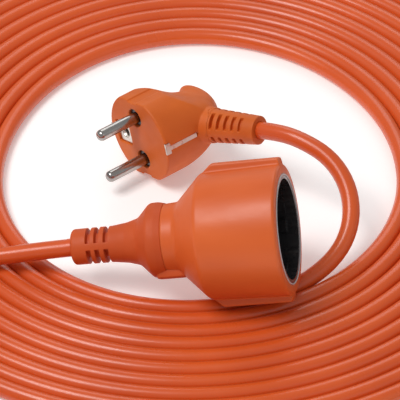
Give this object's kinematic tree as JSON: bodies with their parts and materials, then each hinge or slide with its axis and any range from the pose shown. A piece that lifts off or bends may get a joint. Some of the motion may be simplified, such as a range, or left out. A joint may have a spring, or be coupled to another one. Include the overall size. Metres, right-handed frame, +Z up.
{
  "type": "extension cord",
  "caption": "Coiled three-core extension cord with an angled grounded plug and a single in-line grounded socket.",
  "frame": {"origin": "on the surface that the cord lies on, under the middle of the box around the plug and the socket", "axes": "+Z up; the coil lies flat in XY; the socket opens towards +X and the plug's pins point towards -X and -Y"},
  "size_m": [0.3028, 0.3143, 0.0625],
  "materials": {
    "cord_orange": "soft PVC sheath, satin to glossy",
    "plug_orange": "moulded soft plastic, matt",
    "socket_orange": "moulded plastic, semi-gloss",
    "boot_orange": "moulded soft plastic, matt",
    "dark_insert": "moulded insulating plastic, near black",
    "nickel": "nickel-plated brass, polished",
    "clip_steel": "sprung steel strip",
    "brass": "plain brass",
    "spring_steel": "spring wire",
    "white_insulator": "insulating plastic",
    "core_brown": "core insulation, brown",
    "core_blue": "core insulation, blue",
    "core_earth": "core insulation, green and yellow",
    "tinned_copper": "tinned copper ferrule"
  },
  "bodies": {
    "cord_set": {"contact_carrier": "white_insulator", "cord_coil": "cord_orange", "live_contact": "brass", "neutral_contact": "brass", "plug_body": "plug_orange", "plug_bridge": "dark_insert", "plug_cord_end": "cord_orange", "plug_earth_core": "core_earth", "plug_earth_crimp": "tinned_copper", "plug_earth_socket": "clip_steel", "plug_earth_yoke": "clip_steel", "plug_lead": "cord_orange", "plug_live_core": "core_brown", "plug_live_crimp": "tinned_copper", "plug_live_pin": "nickel", "plug_neutral_core": "core_blue", "plug_neutral_crimp": "tinned_copper", "plug_neutral_pin": "nickel", "plug_strain_relief": "plug_orange", "shutter_spring": "spring_steel", "socket_body": "socket_orange", "socket_boot": "boot_orange", "socket_cord_end": "cord_orange", "socket_cup": "dark_insert", "socket_earth_core": "core_earth", "socket_earth_crimp": "tinned_copper", "socket_earth_strap": "brass", "socket_lead": "cord_orange", "socket_live_core": "core_brown", "socket_live_crimp": "tinned_copper", "socket_neutral_core": "core_blue", "socket_neutral_crimp": "tinned_copper"},
    "shutter": {"shutter": "dark_insert"},
    "upper_clip": {"earth_clip_upper": "clip_steel"},
    "lower_clip": {"earth_clip_lower": "clip_steel"}
  },
  "joints": [
    {"name": "shutter_slide", "type": "slide", "parent": "cord_set", "child": "shutter", "axis": [-0.1006, 0.603, 0.7913], "range_m": [0, 0.007], "stiffness_N_per_m": 40, "springref_m": -0.004, "deforming": ["shutter_spring"]},
    {"name": "upper_clip_flex", "type": "hinge", "parent": "cord_set", "child": "upper_clip", "pos_m": [0.02067, -0.02748, 0.04967], "axis": [-0.213, -0.79, 0.5749], "range_deg": [0, 6], "stiffness_Nm_per_rad": 0.6, "springref_deg": -1.15},
    {"name": "lower_clip_flex", "type": "hinge", "parent": "cord_set", "child": "lower_clip", "pos_m": [0.0248, -0.05221, 0.01723], "axis": [0.213, 0.79, -0.5749], "range_deg": [0, 6], "stiffness_Nm_per_rad": 0.6, "springref_deg": -1.15}
  ]
}
